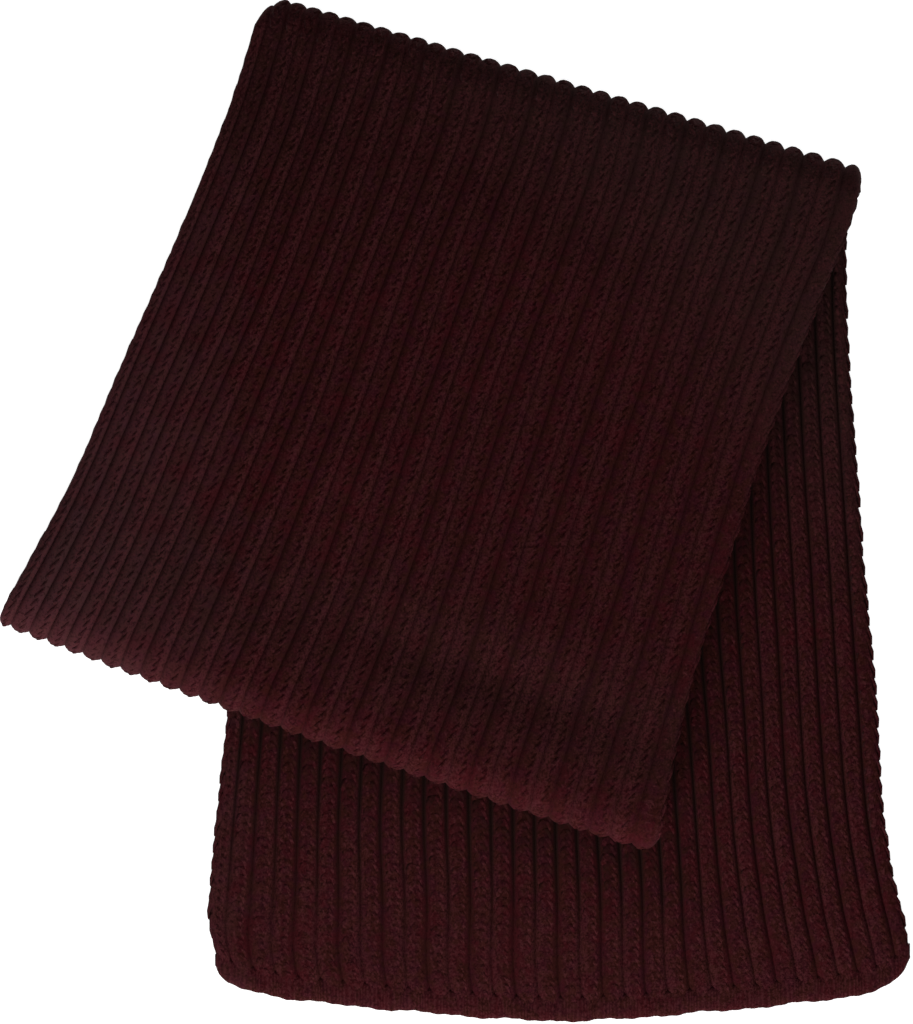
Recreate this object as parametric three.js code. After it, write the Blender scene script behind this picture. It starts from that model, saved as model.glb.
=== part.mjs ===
// Chunky ribbed knit scarf, folded into a bundle that lies across its own lower end.
// Millimetres, +Z up from the surface it lies on, +X to the right, +Y towards the top fold.
// The origin is on that surface, under the middle of the scarf's outline.
import * as THREE from "three";

// The knitted cloth
const RIBS = 33;
const EDGE_RIB_WIDTH = 0.7; // an edge rib's width, as a share of the others'
const CLOTH_WALL = 3; // cloth under the ribs
const RIB_RISE = 2.6; // from the valley between two ribs up to their crests
const CLOTH_DEPTH = CLOTH_WALL + RIB_RISE;
const SEAM_GAP = 0.3;

// The folded bundle
const PANEL_WIDTH = 270; // of the cloth across the bundle, from selvedge to selvedge
const HEIGHT_ON_FLOOR = 26; // crest height of the bundle's left part, which droops to the surface
const HEIGHT_ON_CLOTH = 31; // crest height where the bundle lies on the lower end
const HEIGHT_BLEND = 60; // on each side of the lower end's left edge, where the top changes height
const RAMP_NEAR = 12; // how far left of the lower end's edge the bundle's underside starts to droop
const RAMP_FAR = 72; // how far left of that edge it has reached the surface
const FOLD_REACH = 15; // how far in from the outline a fold is round
const CORNER_RADIUS = 7; // of the bundle's outline, where a fold meets a selvedge
const BOTTOM_FOLD_BOW = 3; // how far the bottom fold bulges past a straight line
const PLAIN_UNDERSIDE_TURN = Math.PI / 3; // the ribs flatten over this much of a fold's underside
const LAYERS = 4; // between the lower end and the top panel
const LAYER_EDGE_INSET = 1.2; // the layers' edges lie this far inside the top panel's selvedges
const WALL_RETURN_GAP = 0.8; // between the layers and the top panel's cloth, where it turns under them
const NOSE_GAP = 3; // between the layers and the inside of a fold

// The finished end
const HEM_DEPTH = 6.8;
const HEM_HEIGHT = 4.2;
const HEM_OVERHANG = 1.6; // the band stands this far past the ribs at each selvedge

// A rib's section: places across it, with the share of the rib's rise at each.
const RIB_SECTION = [
  { across: 0, rise: 0 },
  { across: 0.2, rise: 0.78 },
  { across: 0.5, rise: 1 },
  { across: 0.8, rise: 0.78 },
];

// The top panel's selvedges, seen from above, from the top fold (down 0) to the bottom fold (down 1).
const PANEL_EDGES = [
  { down: 0, leftX: -83.5, leftY: 224, rightX: 176.8, rightY: 147.8 },
  { down: 0.1, leftX: -92.2, leftY: 193, rightX: 167.3, rightY: 115.7 },
  { down: 0.2, leftX: -101, leftY: 166.6, rightX: 155, rightY: 86.3 },
  { down: 0.4, leftX: -122.2, leftY: 114, rightX: 133, rightY: 28.1 },
  { down: 0.6, leftX: -145.1, leftY: 61.7, rightX: 114.4, rightY: -29.8 },
  { down: 0.8, leftX: -168.5, leftY: 8, rightX: 97, rightY: -89 },
  { down: 1, leftX: -199.5, leftY: -50, rightX: 85, rightY: -149.6 },
];

// The lower end's selvedges, from the hem (up 0) to the top fold (up 1). Each row of stitches bows down
// by the hem's drop times bow, and its ribs stand up by rise.
const LOWER_EDGES = [
  { up: 0, leftX: -103.6, leftY: -190.4, rightX: 194.2, rightY: -186.9, bow: 1, rise: 0.6 },
  { up: 0.05, leftX: -106.6, leftY: -176, rightX: 191.4, rightY: -173, bow: 0.9, rise: 1 },
  { up: 0.1, leftX: -106, leftY: -160, rightX: 188, rightY: -159, bow: 0.8, rise: 1 },
  { up: 0.2, leftX: -102.7, leftY: -126, rightX: 183.2, rightY: -127, bow: 0.55, rise: 1 },
  { up: 0.33, leftX: -98.6, leftY: -84, rightX: 180.9, rightY: -84, bow: 0.3, rise: 1 },
  { up: 0.5, leftX: -94.5, leftY: -20, rightX: 176, rightY: -28, bow: 0.1, rise: 1 },
  { up: 0.7, leftX: -91, leftY: 65, rightX: 171.4, rightY: 38, bow: 0, rise: 1 },
  { up: 0.85, leftX: -89, leftY: 135, rightX: 168.6, rightY: 87, bow: 0, rise: 1 },
  { up: 1, leftX: -88.2, leftY: 207, rightX: 168.6, rightY: 131.4, bow: 0, rise: 1 },
];

// How far the hem hangs below the straight line between its two corners.
const HEM_DROP = [
  { across: 0, drop: 0 },
  { across: 0.02, drop: 4.6 },
  { across: 0.06, drop: 9.4 },
  { across: 0.12, drop: 14 },
  { across: 0.27, drop: 19.2 },
  { across: 0.5, drop: 24.4 },
  { across: 0.72, drop: 21 },
  { across: 0.85, drop: 17.4 },
  { across: 0.94, drop: 12.8 },
  { across: 0.98, drop: 7 },
  { across: 1, drop: 0 },
];

// The hem band's section: out from its lower edge towards the ribs, as a share of its depth, and up.
const HEM_SECTION = [
  { inward: 0.08, height: 0 },
  { inward: 0, height: 0.35 },
  { inward: 0.06, height: 0.72 },
  { inward: 0.25, height: 0.97 },
  { inward: 0.7, height: 1 },
  { inward: 1, height: 0.85 },
  { inward: 1, height: 0 },
];

// A folded layer's edge: how far up the layer, and how far it lies behind the layer's outermost point.
const LAYER_EDGE = [
  { up: 0, behind: 2.4 },
  { up: 0.2, behind: 0.6 },
  { up: 0.5, behind: 0 },
  { up: 0.8, behind: 0.6 },
];

// Stations along the cloth: how far a fold has turned, from its underside (-90) over its outline (0) to the
// bundle's top (90), shares of the flat stretch between the folds, and places up the lower end.
const FOLD_TURNS = [-90, -60, -30, 0, 30, 60, 90].map(THREE.MathUtils.degToRad);
const NOSE_TURNS = [30, 60, 90].map(THREE.MathUtils.degToRad);
const FLAT_SHARES = [0.18, 0.36, 0.54, 0.71, 0.86];
const LOWER_PLACES = [0, 0.05, 0.11, 0.19, 0.27, 0.36, 0.46, 0.58, 0.72, 0.86, 1];

const SCARF_COLOUR = 0x4a1c20;
const HEM_COLOUR = 0x552226;

const { clamp, lerp, smoothstep } = THREE.MathUtils;

// The number of the row before a place along one column of a table.
function rowBefore(table, key, at) {
  const last = table.length - 1;
  const after = table.findIndex((row) => row[key] >= at);
  return clamp((after < 0 ? last : after) - 1, 0, last - 1);
}

// A smooth curve through one column of a table, read at any place along another.
function read(table, key, at, column) {
  const last = table.length - 1;
  const i = rowBefore(table, key, at);
  const [a, b] = [table[i], table[i + 1]];
  const span = b[key] - a[key];
  const slope = (k) => {
    const before = table[Math.max(k - 1, 0)];
    const after = table[Math.min(k + 1, last)];
    return ((after[column] - before[column]) / (after[key] - before[key])) * span;
  };
  const t = (at - a[key]) / span;
  const [t2, t3] = [t * t, t * t * t];
  return (
    (2 * t3 - 3 * t2 + 1) * a[column] +
    (t3 - 2 * t2 + t) * slope(i) +
    (3 * t2 - 2 * t3) * b[column] +
    (t3 - t2) * slope(i + 1)
  );
}

// A point between two selvedges, seen from above.
function between(table, key, at, across) {
  return new THREE.Vector2(
    lerp(read(table, key, at, "leftX"), read(table, key, at, "rightX"), across),
    lerp(read(table, key, at, "leftY"), read(table, key, at, "rightY"), across),
  );
}

// The places of the ribs' edges across the cloth, from the left selvedge (0) to the right (1).
function ribEdges() {
  const widths = Array.from({ length: RIBS }, (_, i) => (i % (RIBS - 1) ? 1 : EDGE_RIB_WIDTH));
  const total = widths.reduce((sum, width) => sum + width, 0);
  let reached = 0;
  return [0, ...widths.map((width) => (reached += width) / total)];
}

const RIB_EDGES = ribEdges();
const RIB_COLUMNS = [
  ...RIB_EDGES.slice(1).flatMap((right, i) =>
    RIB_SECTION.map(({ across, rise }) => ({ across: lerp(RIB_EDGES[i], right, across), rise })),
  ),
  { across: 1, rise: 0 },
];

// The lower end, seen from above.
function lowerPlan(across, up) {
  const point = between(LOWER_EDGES, "up", up, across);
  point.y -= read(HEM_DROP, "across", across, "drop") * read(LOWER_EDGES, "up", up, "bow");
  return point;
}

// How far a point lies to the left of the lower end's left selvedge.
function leftOfLowerEnd(point) {
  const i = rowBefore(LOWER_EDGES, "leftY", point.y);
  const [a, b] = [LOWER_EDGES[i], LOWER_EDGES[i + 1]];
  const share = clamp((point.y - a.leftY) / (b.leftY - a.leftY), 0, 1);
  return lerp(a.leftX, b.leftX, share) - point.x;
}

// Where the bundle's underside lies: on the lower end, or drooping to the surface beside it.
function bundleBase(point) {
  return (CLOTH_DEPTH + SEAM_GAP) * (1 - smoothstep(leftOfLowerEnd(point), RAMP_NEAR, RAMP_FAR));
}

// Where the crests on the bundle's top lie.
function bundleTop(point) {
  const share = smoothstep(leftOfLowerEnd(point), -HEIGHT_BLEND, HEIGHT_BLEND);
  return lerp(HEIGHT_ON_CLOTH, HEIGHT_ON_FLOOR, share);
}

// The top panel, seen from above, at a distance in from the top fold's outline or the bottom fold's.
function panelPlan(across, fold, inset) {
  const left = between(PANEL_EDGES, "down", 0, across);
  const length = left.distanceTo(between(PANEL_EDGES, "down", 1, across));
  const down = fold === "top" ? inset / length : 1 - inset / length;
  const point = between(PANEL_EDGES, "down", down, across);
  point.y -= BOTTOM_FOLD_BOW * Math.sin(Math.PI * across) * smoothstep(down, 0.5, 1);
  return { point, length, down };
}

// How far a rounded corner draws a fold's outline in, near a selvedge.
function cornerInset(across, width) {
  const fromEdge = Math.min(across, 1 - across) * width;
  const short = Math.max(0, CORNER_RADIUS - fromEdge);
  return CORNER_RADIUS - Math.sqrt(CORNER_RADIUS ** 2 - short ** 2);
}

// A point of the bundle at a station, a depth under the crests of the top panel.
function bundlePoint(across, station, depth) {
  if (station.fold === undefined) {
    const { length } = panelPlan(across, "top", 0);
    const { point } = panelPlan(across, "top", lerp(FOLD_REACH, length - FOLD_REACH, station.share));
    return new THREE.Vector3(point.x, point.y, bundleTop(point) - depth);
  }
  const { fold, turn } = station;
  const [reach, rise] = [Math.cos(turn), Math.sin(turn)];
  const corner = cornerInset(across, PANEL_WIDTH) * reach;
  const { point: crest } = panelPlan(across, fold, FOLD_REACH * (1 - reach) + corner);
  const low = fold === "top" ? 0 : bundleBase(crest);
  const middle = (low + bundleTop(crest)) / 2;
  const { point } = panelPlan(across, fold, FOLD_REACH * (1 - reach) + corner + depth * reach);
  return new THREE.Vector3(point.x, point.y, middle + (middle - low - depth) * rise);
}

const PANEL_STATIONS = [
  ...FOLD_TURNS.map((turn) => ({ fold: "top", turn })),
  ...FLAT_SHARES.map((share) => ({ share })),
  ...FOLD_TURNS.map((turn) => ({ fold: "bottom", turn })).reverse(),
];

// A mesh from vertices and from faces given as loops of three or four of their numbers.
function solid(name, vertices, faces, colour) {
  const geometry = new THREE.BufferGeometry().setFromPoints(vertices);
  geometry.setIndex(faces.flatMap(([a, b, c, d]) => (d === undefined ? [a, b, c] : [a, b, c, a, c, d])));
  geometry.computeVertexNormals();
  const material = new THREE.MeshStandardMaterial({ color: colour, roughness: 0.95, metalness: 0 });
  const mesh = new THREE.Mesh(geometry, material);
  mesh.name = name;
  return mesh;
}

// A wall with ribs on its outer face and a plain inner face, through rows of both. Each rib's edges on the
// inner face lie behind its edges on the outer one. Outer rows run left to right, and the next row is up.
function ribbedWall(name, outerRows, innerRows, colour) {
  const vertices = [...outerRows.flat(), ...innerRows.flat()];
  const [outerCount, innerCount] = [RIB_COLUMNS.length, RIB_EDGES.length];
  const outer = (row, column) => row * outerCount + column;
  const inner = (row, column) => outerRows.length * outerCount + row * innerCount + column;
  const perRib = RIB_SECTION.length;
  const faces = [];
  for (let row = 0; row + 1 < outerRows.length; row++) {
    for (let i = 0; i + 1 < outerCount; i++)
      faces.push([outer(row, i), outer(row, i + 1), outer(row + 1, i + 1), outer(row + 1, i)]);
    for (let i = 0; i + 1 < innerCount; i++)
      faces.push([inner(row, i + 1), inner(row, i), inner(row + 1, i), inner(row + 1, i + 1)]);
    faces.push([inner(row, 0), outer(row, 0), outer(row + 1, 0), inner(row + 1, 0)]);
    const [o, n] = [outerCount - 1, innerCount - 1];
    faces.push([outer(row, o), inner(row, n), inner(row + 1, n), outer(row + 1, o)]);
  }
  const top = outerRows.length - 1;
  for (let rib = 0; rib + 1 < innerCount; rib++) {
    const first = rib * perRib;
    for (let i = first; i < first + perRib; i++) {
      const near = i < first + perRib / 2 ? rib : rib + 1;
      faces.push([inner(0, near), outer(0, i + 1), outer(0, i)]);
      faces.push([inner(top, near), outer(top, i), outer(top, i + 1)]);
    }
    const middle = first + perRib / 2;
    faces.push([inner(0, rib), inner(0, rib + 1), outer(0, middle)]);
    faces.push([inner(top, rib + 1), inner(top, rib), outer(top, middle)]);
  }
  return solid(name, vertices, faces, colour);
}

// A solid through closed rings of equal count, each flat across the run, with a face on each end. Looking
// along the run, the rings go clockwise.
function ringedSolid(name, rings, capOutline, colour) {
  const vertices = rings.flat();
  const count = rings[0].length;
  const faces = [];
  for (let ring = 0; ring + 1 < rings.length; ring++)
    for (let i = 0; i < count; i++) {
      const [a, b] = [ring * count + i, ring * count + ((i + 1) % count)];
      faces.push([a, b, b + count, a + count]);
    }
  const cap = THREE.ShapeUtils.triangulateShape(capOutline, []);
  const clockwise = THREE.ShapeUtils.isClockWise(capOutline);
  const end = (rings.length - 1) * count;
  for (const [a, b, c] of cap) {
    faces.push(clockwise ? [a, b, c] : [c, b, a]);
    faces.push(clockwise ? [c + end, b + end, a + end] : [a + end, b + end, c + end]);
  }
  return solid(name, vertices, faces, colour);
}

function lowerEnd() {
  const ribbed = LOWER_PLACES.map((up) => {
    const rise = RIB_RISE * read(LOWER_EDGES, "up", up, "rise");
    return RIB_COLUMNS.map((column) => {
      const { x, y } = lowerPlan(column.across, up);
      return new THREE.Vector3(x, y, CLOTH_WALL + rise * column.rise);
    });
  });
  const underside = LOWER_PLACES.map((up) =>
    RIB_EDGES.map((across) => {
      const { x, y } = lowerPlan(across, up);
      return new THREE.Vector3(x, y, 0);
    }),
  );
  return ribbedWall("lower_end", ribbed, underside, SCARF_COLOUR);
}

function hemBand() {
  const rings = [...RIB_EDGES].reverse().map((across) => {
    const seam = lowerPlan(across, 0);
    const outward = HEM_OVERHANG * (2 * across - 1);
    return HEM_SECTION.map(({ inward, height }) => {
      const below = SEAM_GAP + HEM_DEPTH * (1 - inward);
      return new THREE.Vector3(seam.x + outward, seam.y - below, HEM_HEIGHT * height);
    });
  });
  const outline = HEM_SECTION.map(({ inward, height }) => new THREE.Vector2(inward, height));
  return ringedSolid("hem_band", rings, outline, HEM_COLOUR);
}

function topPanel() {
  const ribbed = PANEL_STATIONS.map((station) => {
    const underside = (station.turn ?? 0) + Math.PI / 2;
    const shown = smoothstep(underside, 0, PLAIN_UNDERSIDE_TURN);
    return RIB_COLUMNS.map(({ across, rise }) => {
      return bundlePoint(across, station, RIB_RISE * (1 - rise) * shown);
    });
  });
  const plain = PANEL_STATIONS.map((station) =>
    RIB_EDGES.map((across) => bundlePoint(across, station, CLOTH_DEPTH)),
  );
  return ribbedWall("top_panel", ribbed.reverse(), plain.reverse(), SCARF_COLOUR);
}

// The rings of the folded layers: inside the top fold, under the panel, and inside the bottom fold.
const LAYER_STATIONS = [
  ...NOSE_TURNS.map((turn) => ({ fold: "top", turn })),
  ...FLAT_SHARES.map((share) => ({ share })),
  { fold: "bottom", clear: SEAM_GAP },
  ...NOSE_TURNS.map((turn) => ({ fold: "bottom", turn })).reverse(),
];

// A point of the folded layers: share 0 is on their underside and share 1 is against the top panel.
function layerPoint(across, station, share) {
  const { fold, turn, clear = 0 } = station;
  const nose = FOLD_REACH - CLOTH_DEPTH - NOSE_GAP;
  let inset = FOLD_REACH + clear;
  if (fold === undefined) {
    const { length } = panelPlan(across, "top", 0);
    inset = lerp(FOLD_REACH, length - FOLD_REACH, station.share);
  } else if (turn !== undefined) {
    inset = FOLD_REACH - (nose - cornerInset(across, PANEL_WIDTH)) * Math.cos(turn);
  }
  const { point } = panelPlan(across, fold ?? "top", inset);
  const base = bundleBase(point);
  const high = bundleTop(point) - CLOTH_DEPTH - SEAM_GAP;
  if (turn === undefined) return new THREE.Vector3(point.x, point.y, lerp(base, high, share));
  const floor = fold === "top" ? 0 : base;
  const low = floor + CLOTH_DEPTH + WALL_RETURN_GAP;
  const middle = (floor + bundleTop(point)) / 2;
  const reach = share < 0.5 ? middle - low : high - middle;
  return new THREE.Vector3(point.x, point.y, middle + reach * Math.sin(turn) * (2 * share - 1));
}

function hiddenLayers() {
  const columns = RIB_EDGES.filter((_, i) => i % 2 === 0 && i > 0 && i < RIBS - 1);
  const lobes = Array.from({ length: LAYERS }, (_, layer) =>
    LAYER_EDGE.map(({ up, behind }) => ({ share: (layer + up) / LAYERS, behind })),
  ).flat();
  lobes.push({ share: 1, behind: LAYER_EDGE[0].behind });
  const edges = lobes.map(({ share, behind }) => {
    return { share, inset: (LAYER_EDGE_INSET + behind) / PANEL_WIDTH };
  });
  const outline = [
    ...columns.map((across) => [across, 0]),
    ...edges.map(({ share, inset }) => [1 - inset, share]),
    ...columns.map((across) => [across, 1]).reverse(),
    ...edges.map(({ share, inset }) => [inset, share]).reverse(),
  ];
  const rings = LAYER_STATIONS.map((station) =>
    outline.map(([across, share]) => layerPoint(across, station, share)),
  );
  const capOutline = outline.map(([across, share]) => new THREE.Vector2(across, share));
  return ringedSolid("hidden_layers", rings, capOutline, SCARF_COLOUR);
}

export default new THREE.Group().add(lowerEnd(), hemBand(), topPanel(), hiddenLayers());
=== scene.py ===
# A chunky ribbed knit scarf, folded into a bundle that lies across its own lower end, stitch by stitch.
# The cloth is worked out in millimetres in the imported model's frame, and each mesh is made in metres.
from collections import namedtuple
from math import atan2, cos, pi, radians, sin, tau

import bmesh
import bpy
import numpy as np
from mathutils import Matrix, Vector


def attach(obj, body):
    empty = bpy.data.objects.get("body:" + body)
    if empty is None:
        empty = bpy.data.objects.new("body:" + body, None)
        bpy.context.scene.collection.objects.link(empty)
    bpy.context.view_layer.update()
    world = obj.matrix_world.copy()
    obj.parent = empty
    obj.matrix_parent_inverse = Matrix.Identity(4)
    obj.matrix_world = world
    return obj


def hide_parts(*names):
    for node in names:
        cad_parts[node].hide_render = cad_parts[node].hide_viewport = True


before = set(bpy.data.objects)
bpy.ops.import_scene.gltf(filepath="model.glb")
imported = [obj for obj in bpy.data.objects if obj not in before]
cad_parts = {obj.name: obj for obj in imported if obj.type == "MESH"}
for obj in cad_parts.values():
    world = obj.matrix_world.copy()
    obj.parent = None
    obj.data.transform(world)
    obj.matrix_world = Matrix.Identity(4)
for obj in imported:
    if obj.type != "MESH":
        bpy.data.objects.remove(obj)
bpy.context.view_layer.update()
MM = 0.001

# The knitted cloth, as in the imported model
RIBS = 33
EDGE_RIB_WIDTH = 0.7  # an edge rib's width, as a share of the others'
RIB_RISE = 2.6  # from the valley between two ribs up to their crests
CLOTH_DEPTH = 5.6
SEAM_GAP = 0.3

# The folded bundle
PANEL_WIDTH = 270
HEIGHT_ON_FLOOR = 26
HEIGHT_ON_CLOTH = 31
HEIGHT_BLEND = 60
RAMP_NEAR = 12
RAMP_FAR = 72
FOLD_REACH = 15
FOLD_ARC = 46  # the cloth's length round a fold
BOTTOM_BEND = (17, 42)  # where the bottom fold straightens out, from the panel's end
TOP_BEND = (-20, 14)  # where the top fold's bend sets in, from the flat cloth's end
BOTTOM_FOLD_BOW = 3
BUNDLE_LENGTH = 300  # roughly, between its folds
LAYERS = 4
LAYER_INSET = 1.6

# How far the ribs' sides are drawn in round the bottom fold, and round the top one at its left and right
BUMP_POWER = 2.4
BOTTOM_BUMP = 1.5
TOP_BUMPS = (1.2, 2.3)
TOP_FLATTENED = 0.92  # how much of their height the stitches lose round the top fold
FOLD_WALL = 0.05  # how deep the wall lies below the crests round the top fold
BOTTOM_WALL = 0.65  # and how much deeper it is round the bottom one

# The finished end
LOWER_REACH = 350  # roughly, from the hem to the top fold
HEM_LENGTH = 300
HEM_DEPTH = 7.2
HEM_HEIGHT = 4.2
HEM_OVERHANG = 0.9
HEM_LAP = 3.4  # how far the hem's inner side comes up between the ribs' ends
HEM_STEP = 1.2  # how far the ribs' crests go down to the hem
HEM_PINCH = 0.14  # how far the ribs' ends are pulled in, as a share of their width
HEM_STITCHES = 186
WALL_FOOT = -0.006  # how far up the lower end its wall starts, which is behind the hem
HEM_NEARNESS = 0.022  # how far up the hem still draws the ribs in and lowers them

# The top panel's selvedges, seen from above, from the top fold (down 0) to the bottom fold (down 1).
PANEL_EDGES = dict(
    down=(0, 0.1, 0.2, 0.4, 0.6, 0.8, 1),
    left_x=(-83.5, -92.2, -101, -122.2, -144.9, -168, -199.2),
    left_y=(224, 193, 166.6, 114, 61.7, 8, -50),
    right_x=(176.8, 167.3, 155, 133, 114.4, 97, 85),
    right_y=(147.8, 115.7, 86.3, 28.1, -29.8, -89, -149.6),
)

# The lower end's selvedges, from the hem (up 0) to the top fold (up 1), and how far its rows bow down.
LOWER_EDGES = dict(
    up=(0, 0.05, 0.1, 0.2, 0.33, 0.5, 0.7, 0.85, 1),
    left_x=(-103.6, -106.6, -106, -102.7, -98.6, -94.5, -91, -89, -88.2),
    left_y=(-190.4, -176, -160, -126, -84, -20, 65, 135, 207),
    right_x=(194.2, 191.4, 188, 183.2, 180.9, 176, 171.4, 168.6, 168.6),
    right_y=(-186.9, -173, -159, -127, -84, -28, 38, 87, 131.4),
    bow=(1, 0.9, 0.8, 0.55, 0.3, 0.1, 0, 0, 0),
)

# How far the hem hangs below the straight line between its two corners.
HEM_DROP = dict(
    across=(0, 0.02, 0.06, 0.12, 0.27, 0.5, 0.72, 0.85, 0.94, 0.98, 1),
    drop=(1.8, 6.6, 10.6, 14, 19.2, 24.4, 21, 17.6, 13.8, 8.6, 0.6),
)

# How far each fold's corners are rounded, across the cloth and down it: left and right, top and bottom.
TOP_CORNERS = ((12, 15), (6, 6))
BOTTOM_CORNERS = ((6, 2), (8, 6))

# How far the ribs lie to the right of even spacing, in thousandths of the cloth's width, at places across.
STRAY_PLACES = dict(
    across=(0, 0.21, 0.53, 0.86, 0.975, 1),
    left=(0, 1, 0, 0, 0, 0),
    middle=(0, 0, 1, 0, 0, 0),
    right=(0, 0, 0, 1, 0, 0),
    edge=(0, 0, 0, 0, 1, 0),
)
PANEL_STRAY = dict(
    down=(0, 0.22, 0.55, 0.78, 1),
    left=(-24, -21, -18, -22, -22),
    middle=(-30, -26, -14, -14, -24),
    right=(-22, -17, -7, -5, -25),
    edge=(-12, -10, -7, -3, -21),
)
LOWER_STRAY = dict(
    up=(0, 0.11, 0.2, 0.32, 0.47, 1),
    left=(6, 12, 6, 2, 0, 0),
    middle=(14, 25, 24, 16, 8, 0),
    right=(15, 11, 8, 2, 0, 0),
    edge=(5, 4, 0, -5, -3, 0),
)

# Soft ridges (rise above 0) and troughs: their middle, the turn of their length, their half length and
# half width, and their rise.
Soft = namedtuple("Soft", "x y turn length width rise")
BUNDLE_FOLDS = (
    Soft(-88, 158, 62, 34, 15, 1.5),
    Soft(-66, 176, 70, 40, 14, -1.1),
    Soft(-150, -8, 60, 30, 17, 1.6),
    Soft(-128, 40, 66, 46, 16, 0.8),
    Soft(-104, 4, 68, 40, 15, -0.9),
    Soft(-44, 20, 10, 30, 16, 1.1),
    Soft(50, 100, -30, 30, 15, 1.2),
    Soft(38, -54, -18, 30, 14, 1.2),
    Soft(10, -72, -20, 80, 13, -2.8),
    Soft(122, 74, 70, 40, 13, 1.1),
    Soft(92, 128, -14, 40, 14, 0.8),
    Soft(0, 150, -17, 60, 15, -0.9),
    Soft(64, 20, 66, 60, 14, -0.8),
)
LOWER_FOLDS = (
    Soft(-60, -150, 84, 34, 13, 0.5),
    Soft(40, -178, 10, 46, 12, 0.4),
    Soft(132, -120, 78, 40, 13, 0.5),
    Soft(160, 0, 86, 50, 9, 0.4),
    Soft(104, -168, 80, 30, 10, -0.4),
    Soft(-10, -160, 82, 28, 11, -0.4),
    Soft(-12, -98, -20, 120, 13, -1.2),
)

# The yarn and its stitches, in millimetres. A rib is a rope of V stitches with two legs each.
PANEL_ROW = 4.15
LOWER_ROW = 3.75
NOMINAL_ROW = 4.0
HALF_RIB = 4.3
EDGE_HALF_RIB = HALF_RIB * EDGE_RIB_WIDTH
LEG_HALF_WIDTH = 1.6
LEG_HALF_HEIGHT = 0.7
YARN_SIDES = (-12, 35, 90, 145, 192, 270)  # where a strand's section has corners, in degrees round it
UNDER_STITCHES = 0.28  # how far the wall behind the stitches lies below their crests
VALLEY = 3.3  # how far the wall goes down between two ribs
PANEL_VALLEY = 0.7  # how deep the valleys are on the top panel, as a share of that
HEM_VALLEY = 0.55  # at the hem
LOWER_VALLEY = 0.9  # and on the rest of the lower end
LOWER_BELOW = 0.2  # how much further below its stitches the lower end's wall lies
GROOVE = 0.25  # how deep the groove is between a rib's two columns of legs
ROPE_POWER = 2.3  # how full a rib's rope is: 2 is round, and more is boxier
LEG_SEAT = 0.68  # how far a leg's centre line lies inside its rib's side, in its half widths
# How unlike each other the stitches are: in size, along the rib in rows, across it and upwards
SIZE_SPREAD, SLIP_SPREAD, SWAY_SPREAD, LIFT_SPREAD = 0.03, 0.05, 0.08, 0.08

# A leg's centre line: the turn round its rib (90 on the crest, 0 at the right-hand valley), how far it is
# along the rib in rows, and how far it sinks into the cloth. The first and last places are its tips.
Place = namedtuple("Place", "turn row sink")
LEG = (
    Place(80, -0.98, 1.2),
    Place(72, -0.72, 0.4),
    Place(61, -0.38, 0.05),
    Place(49, 0.0, 0),
    Place(38, 0.38, 0.15),
    Place(29, 0.72, 0.8),
    Place(23, 1.0, 1.6),
)
# A loop of a selvedge, which spans two rows and stands out most near its end
EDGE_LOOP = (
    Place(58, -1.0, 1.3),
    Place(44, -0.74, 0.5),
    Place(26, -0.38, 0.3),
    Place(10, 0.0, 0),
    Place(0, 0.34, -0.5),
    Place(-8, 0.66, -0.4),
    Place(-14, 0.9, 1.2),
)
EDGE_INSET = 0.0008  # how far the wall stays within the selvedges, as a share of the cloth's width


def lerp(a, b, share):
    return a + (b - a) * share


def smoothstep(value, low, high):
    t = np.clip((value - low) / (high - low), 0, 1)
    return t * t * (3 - 2 * t)


def read(table, key, at, column):
    """A smooth curve through one column of a table, read at places along another."""
    keys, values = (np.array(table[name], float) for name in (key, column))
    last = len(keys) - 1
    before = np.maximum(np.arange(last + 1) - 1, 0)
    after = np.minimum(np.arange(last + 1) + 1, last)
    slopes = (values[after] - values[before]) / (keys[after] - keys[before])
    i = np.clip(np.searchsorted(keys, at) - 1, 0, last - 1)
    span = keys[i + 1] - keys[i]
    t = (at - keys[i]) / span
    rise = values[i + 1] - values[i]
    start, end = slopes[i] * span, slopes[i + 1] * span
    return values[i] + t * start + t * t * (3 * rise - 2 * start - end) + t**3 * (start + end - 2 * rise)


def between(table, key, at, across):
    """Points between two selvedges, seen from above."""
    x = lerp(read(table, key, at, "left_x"), read(table, key, at, "right_x"), across)
    y = lerp(read(table, key, at, "left_y"), read(table, key, at, "right_y"), across)
    return x, y


def rib_edges():
    """The places of the ribs' edges across the cloth, from the left selvedge (0) to the right (1)."""
    widths = np.ones(RIBS)
    widths[[0, -1]] = EDGE_RIB_WIDTH
    return np.concatenate([[0], np.cumsum(widths)]) / widths.sum()


RIB_EDGES = rib_edges()
RIB_MIDDLES = (RIB_EDGES[1:] + RIB_EDGES[:-1]) / 2
RIB_HALVES = (RIB_EDGES[1:] - RIB_EDGES[:-1]) / 2


def soft_rise(folds, x, y):
    """How far soft ridges and troughs lift the cloth."""
    total = np.zeros(np.shape(x))
    for fold in folds:
        turn = radians(fold.turn)
        along = (x - fold.x) * cos(turn) + (y - fold.y) * sin(turn)
        aside = (y - fold.y) * cos(turn) - (x - fold.x) * sin(turn)
        total = total + fold.rise * np.exp(-((along / fold.length) ** 2) - (aside / fold.width) ** 2)
    return total


WANDER = 0.0016  # as a share of the cloth's width


def wander(across, run):
    """How far the ribs stray from straight, as a share of the cloth's width, nothing at the selvedges."""
    waves = np.sin(run / 31 + across * 9) + 0.6 * np.sin(run / 17 - across * 23) + 0.5 * np.sin(run / 53 + 2)
    inside = np.minimum(1, 8 * np.minimum(across, 1 - across)).clip(0)
    return WANDER * waves * inside


def stray(table, key, across, along):
    """How far the ribs lie to the side of even spacing, as a share of the cloth's width."""
    thousandths = 0
    for side in ("left", "middle", "right", "edge"):
        thousandths = thousandths + read(STRAY_PLACES, "across", across, side) * read(table, key, along, side)
    return thousandths / 1000


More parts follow.
